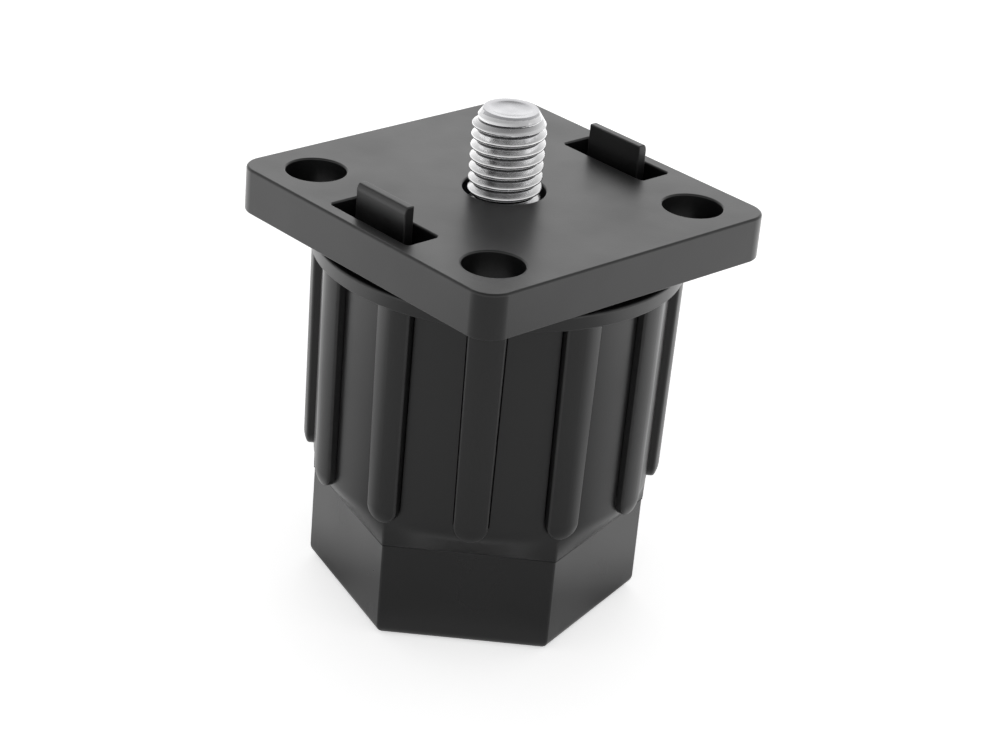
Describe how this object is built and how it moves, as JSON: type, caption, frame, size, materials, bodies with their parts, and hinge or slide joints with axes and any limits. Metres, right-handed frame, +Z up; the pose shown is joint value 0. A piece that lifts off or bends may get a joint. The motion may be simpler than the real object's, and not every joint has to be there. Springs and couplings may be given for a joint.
{
  "type": "adjustable cabinet leg",
  "caption": "Short adjustable furniture leg: a ribbed barrel on a hexagonal foot carries a screw that runs in a square screw-on mounting plate with spring tongues.",
  "frame": {"origin": "on the floor, under the middle of the hexagonal foot", "axes": "+Z up along the screw, from the foot to the mounting plate; X and Y along the plate's sides, with the two slots on the X sides"},
  "size_m": [0.05, 0.05, 0.0691],
  "materials": {
    "plate_plastic": "satin black moulded plastic with a fine moulded grain",
    "leg_plastic": "satin black moulded plastic",
    "zinc_steel": "bright zinc plating"
  },
  "bodies": {
    "leg": {"leg_body": "leg_plastic", "leg_core": "leg_plastic", "leg_screw": "zinc_steel"},
    "washer": {"thrust_washer": "zinc_steel"},
    "head": {"mounting_plate": "plate_plastic", "hex_nut": "zinc_steel"}
  },
  "joints": [
    {"name": "leg_turn", "type": "hinge", "parent": "leg", "child": "washer", "pos_m": [0, 0, 0.0453], "axis": [0, 0, 1], "range_deg": [0, 2880]},
    {"name": "plate_rise", "type": "slide", "parent": "washer", "child": "head", "axis": [0, 0, 1], "range_m": [0, 0.012]}
  ],
  "couplings": [
    {"joint": "plate_rise", "follows": "leg_turn", "m_per_rad": 0.00023873}
  ]
}
